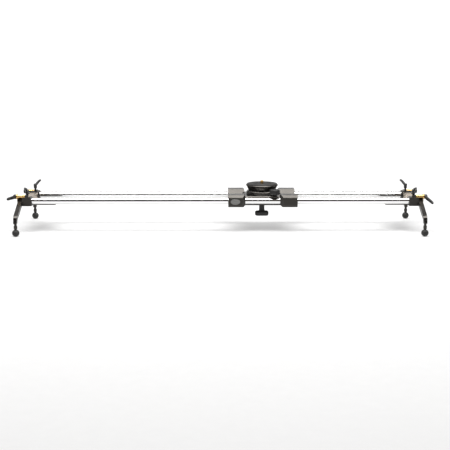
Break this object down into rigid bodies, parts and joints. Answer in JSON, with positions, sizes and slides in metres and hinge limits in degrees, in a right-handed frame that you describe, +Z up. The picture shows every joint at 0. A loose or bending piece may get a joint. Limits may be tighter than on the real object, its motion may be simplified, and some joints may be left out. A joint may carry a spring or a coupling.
{
  "type": "camera slider",
  "caption": "Twin-rail camera slider: a carriage with a levelling half-ball camera plate runs on round chrome rails between clamped folding legs.",
  "frame": {"origin": "on the floor under the middle of the rail pair", "axes": "+X along the rails, +Y to the rear, +Z up"},
  "size_m": [1.2984, 0.3206, 0.1505],
  "materials": {
    "chrome_steel": "hard chrome, polished",
    "black_anodised": "black anodised, fine matt",
    "clear_anodised": "champagne anodised",
    "zinc_steel": "zinc plated",
    "black_oxide_steel": "black oxide on machined threads",
    "brass": "turned brass",
    "black_lever_coat": "black powder coat",
    "black_rubber": "matt rubber",
    "black_plastic": "moulded, fine grain",
    "bushing_steel": "ground",
    "badge_metal": "brushed, blank"
  },
  "bodies": {
    "frame": {"rail_front": "chrome_steel", "rail_rear": "chrome_steel", "cross_bar_left": "clear_anodised", "tripod_plate_left": "black_anodised", "cross_bar_right": "clear_anodised", "tripod_plate_right": "black_anodised", "end_block_front_left": "black_anodised", "leg_pivot_bolt_front_left": "zinc_steel", "end_block_rear_left": "black_anodised", "leg_pivot_bolt_rear_left": "zinc_steel", "end_block_front_right": "black_anodised", "leg_pivot_bolt_front_right": "zinc_steel", "end_block_rear_right": "black_anodised", "leg_pivot_bolt_rear_right": "zinc_steel"},
    "carriage": {"carriage_body": "black_anodised", "bowl": "black_anodised", "brake_pad": "black_plastic", "badge_plate": "badge_metal", "ball_bushing_front_left": "bushing_steel", "ball_bushing_rear_left": "bushing_steel", "ball_bushing_front_right": "bushing_steel", "ball_bushing_rear_right": "bushing_steel"},
    "leg_front_left": {"leg_arm_front_left": "black_anodised"},
    "foot_front_left": {"foot_stud_front_left": "black_oxide_steel", "foot_lock_collar_front_left": "black_anodised", "foot_ball_front_left": "black_rubber"},
    "leg_clamp_front_left": {"leg_clamp_screw_front_left": "brass", "leg_clamp_handle_front_left": "black_lever_coat"},
    "rail_clamp_front_left": {"rail_clamp_stud_front_left": "black_oxide_steel", "rail_clamp_handle_front_left": "black_lever_coat"},
    "leg_rear_left": {"leg_arm_rear_left": "black_anodised"},
    "foot_rear_left": {"foot_stud_rear_left": "black_oxide_steel", "foot_lock_collar_rear_left": "black_anodised", "foot_ball_rear_left": "black_rubber"},
    "leg_clamp_rear_left": {"leg_clamp_screw_rear_left": "brass", "leg_clamp_handle_rear_left": "black_lever_coat"},
    "rail_clamp_rear_left": {"rail_clamp_stud_rear_left": "black_oxide_steel", "rail_clamp_handle_rear_left": "black_lever_coat"},
    "leg_front_right": {"leg_arm_front_right": "black_anodised"},
    "foot_front_right": {"foot_stud_front_right": "black_oxide_steel", "foot_lock_collar_front_right": "black_anodised", "foot_ball_front_right": "black_rubber"},
    "leg_clamp_front_right": {"leg_clamp_screw_front_right": "brass", "leg_clamp_handle_front_right": "black_lever_coat"},
    "rail_clamp_front_right": {"rail_clamp_stud_front_right": "black_oxide_steel", "rail_clamp_handle_front_right": "black_lever_coat"},
    "leg_rear_right": {"leg_arm_rear_right": "black_anodised"},
    "foot_rear_right": {"foot_stud_rear_right": "black_oxide_steel", "foot_lock_collar_rear_right": "black_anodised", "foot_ball_rear_right": "black_rubber"},
    "leg_clamp_rear_right": {"leg_clamp_screw_rear_right": "brass", "leg_clamp_handle_rear_right": "black_lever_coat"},
    "rail_clamp_rear_right": {"rail_clamp_stud_rear_right": "black_oxide_steel", "rail_clamp_handle_rear_right": "black_lever_coat"},
    "brake_knob": {"brake_knob": "black_plastic"},
    "ball_cradle": {"clamp_washer": "black_anodised"},
    "half_ball": {"half_ball": "black_anodised", "top_pad": "black_rubber", "camera_stud": "brass"},
    "t_handle": {"t_handle": "black_plastic"}
  },
  "joints": [
    {"name": "carriage_slide", "type": "slide", "parent": "frame", "child": "carriage", "axis": [1, 0, 0], "range_m": [-0.606, 0.344]},
    {"name": "leg_swing_front_left", "type": "hinge", "parent": "frame", "child": "leg_front_left", "pos_m": [-0.619, -0.0635, 0.095], "axis": [1, 0, 0], "range_deg": [-36, 61]},
    {"name": "foot_height_front_left", "type": "slide", "parent": "leg_front_left", "child": "foot_front_left", "axis": [0, 0, 1], "range_m": [-0.006, 0.005]},
    {"name": "leg_clamp_turn_front_left", "type": "hinge", "parent": "frame", "child": "leg_clamp_front_left", "pos_m": [-0.6255, -0.072, 0.11], "axis": [1, 0, 0], "range_deg": [-45, 45]},
    {"name": "rail_clamp_turn_front_left", "type": "hinge", "parent": "frame", "child": "rail_clamp_front_left", "pos_m": [-0.5978, -0.0635, 0.116], "axis": [0, 0, 1], "range_deg": [-60, 60]},
    {"name": "leg_swing_rear_left", "type": "hinge", "parent": "frame", "child": "leg_rear_left", "pos_m": [-0.619, 0.0635, 0.095], "axis": [1, 0, 0], "range_deg": [-61, 10]},
    {"name": "foot_height_rear_left", "type": "slide", "parent": "leg_rear_left", "child": "foot_rear_left", "axis": [0, 0, 1], "range_m": [-0.006, 0.005]},
    {"name": "leg_clamp_turn_rear_left", "type": "hinge", "parent": "frame", "child": "leg_clamp_rear_left", "pos_m": [-0.6255, 0.078, 0.1043], "axis": [1, 0, 0], "range_deg": [-45, 45]},
    {"name": "rail_clamp_turn_rear_left", "type": "hinge", "parent": "frame", "child": "rail_clamp_rear_left", "pos_m": [-0.5978, 0.0635, 0.116], "axis": [0, 0, 1], "range_deg": [-60, 60]},
    {"name": "leg_swing_front_right", "type": "hinge", "parent": "frame", "child": "leg_front_right", "pos_m": [0.619, -0.0635, 0.095], "axis": [1, 0, 0], "range_deg": [-36, 61]},
    {"name": "foot_height_front_right", "type": "slide", "parent": "leg_front_right", "child": "foot_front_right", "axis": [0, 0, 1], "range_m": [-0.006, 0.005]},
    {"name": "leg_clamp_turn_front_right", "type": "hinge", "parent": "frame", "child": "leg_clamp_front_right", "pos_m": [0.6255, -0.072, 0.11], "axis": [1, 0, 0], "range_deg": [-45, 45]},
    {"name": "rail_clamp_turn_front_right", "type": "hinge", "parent": "frame", "child": "rail_clamp_front_right", "pos_m": [0.5978, -0.0635, 0.116], "axis": [0, 0, 1], "range_deg": [-60, 60]},
    {"name": "leg_swing_rear_right", "type": "hinge", "parent": "frame", "child": "leg_rear_right", "pos_m": [0.619, 0.0635, 0.095], "axis": [1, 0, 0], "range_deg": [-61, 10]},
    {"name": "foot_height_rear_right", "type": "slide", "parent": "leg_rear_right", "child": "foot_rear_right", "axis": [0, 0, 1], "range_m": [-0.006, 0.005]},
    {"name": "leg_clamp_turn_rear_right", "type": "hinge", "parent": "frame", "child": "leg_clamp_rear_right", "pos_m": [0.6255, 0.078, 0.1043], "axis": [1, 0, 0], "range_deg": [-45, 45]},
    {"name": "rail_clamp_turn_rear_right", "type": "hinge", "parent": "frame", "child": "rail_clamp_rear_right", "pos_m": [0.5978, 0.0635, 0.116], "axis": [0, 0, 1], "range_deg": [-60, 60]},
    {"name": "brake_turn", "type": "hinge", "parent": "carriage", "child": "brake_knob", "pos_m": [0.168, -0.0635, 0.112], "axis": [0, 0, 1], "range_deg": [-90, 90]},
    {"name": "tilt_front_back", "type": "hinge", "parent": "carriage", "child": "ball_cradle", "pos_m": [0.131, 0, 0.148], "axis": [1, 0, 0], "range_deg": [-7, 7]},
    {"name": "tilt_left_right", "type": "hinge", "parent": "ball_cradle", "child": "half_ball", "pos_m": [0.131, 0, 0.148], "axis": [0, 1, 0], "range_deg": [-7, 7]},
    {"name": "t_handle_turn", "type": "hinge", "parent": "half_ball", "child": "t_handle", "pos_m": [0.131, 0, 0.087], "axis": [0, 0, 1], "continuous": true}
  ]
}
